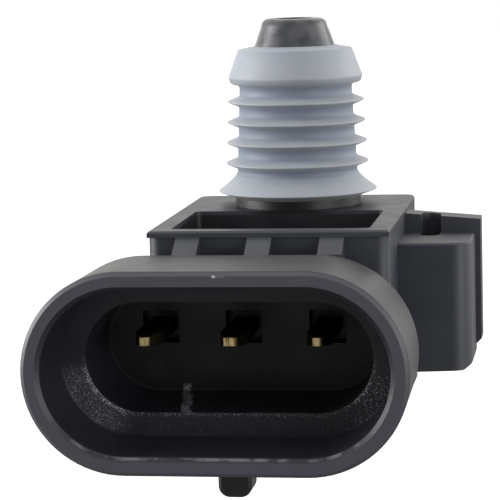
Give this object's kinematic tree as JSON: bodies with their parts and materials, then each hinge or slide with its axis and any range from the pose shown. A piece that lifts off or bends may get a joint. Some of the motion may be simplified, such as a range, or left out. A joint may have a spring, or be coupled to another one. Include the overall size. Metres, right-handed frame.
{
  "type": "fuel pressure sensor",
  "caption": "Small moulded fuel pressure sensor with a push-in port in a ribbed grey seal, a round-ended plug socket with blade terminals and a slotted fixing ear.",
  "frame": {"origin": "on the axis of the pressure port, at the level of the body's top face", "axes": "+Z out of the pressure port, -Y out of the plug socket's mouth, +X towards the fixing ear"},
  "size_m": [0.0258, 0.0289, 0.0283],
  "materials": {
    "black_plastic": "fine matt glass-filled moulding",
    "lid_plastic": "smooth matt moulding",
    "grey_silicone": "satin grey silicone",
    "black_sealant": "cured sealant bead",
    "tinned_brass": "lightly dulled plated brass",
    "board_green": "solder mask over glass laminate",
    "silicone_adhesive": "translucent cured silicone",
    "cell_plastic": "smooth dark moulding",
    "silicon": "polished silicon",
    "clear_gel": "clear soft gel",
    "wire_metal": "fine bright wire",
    "chip_plastic": "moulded epoxy",
    "tin": "bright tin",
    "capacitor_ceramic": "fired ceramic",
    "resistor_ceramic": "glazed ceramic",
    "membrane_white": "porous film"
  },
  "bodies": {
    "root": {"housing": "black_plastic", "lid": "lid_plastic", "lid_sealant": "black_sealant", "vent_membrane": "membrane_white", "port_seal": "grey_silicone", "terminal_left": "tinned_brass", "terminal_middle": "tinned_brass", "terminal_right": "tinned_brass", "circuit_board": "board_green", "board_adhesive": "silicone_adhesive", "cell_ring": "cell_plastic", "ring_adhesive": "silicone_adhesive", "die_adhesive": "silicone_adhesive", "sensing_die": "silicon", "protective_gel": "clear_gel", "bond_wires": "wire_metal", "signal_chip": "chip_plastic", "chip_leads": "tin", "end_caps": "tin", "solder_joints": "tin", "capacitor_1": "capacitor_ceramic", "capacitor_2": "capacitor_ceramic", "capacitor_3": "capacitor_ceramic", "capacitor_4": "capacitor_ceramic", "resistor_1": "resistor_ceramic", "resistor_2": "resistor_ceramic", "resistor_3": "resistor_ceramic"}
  },
  "joints": []
}
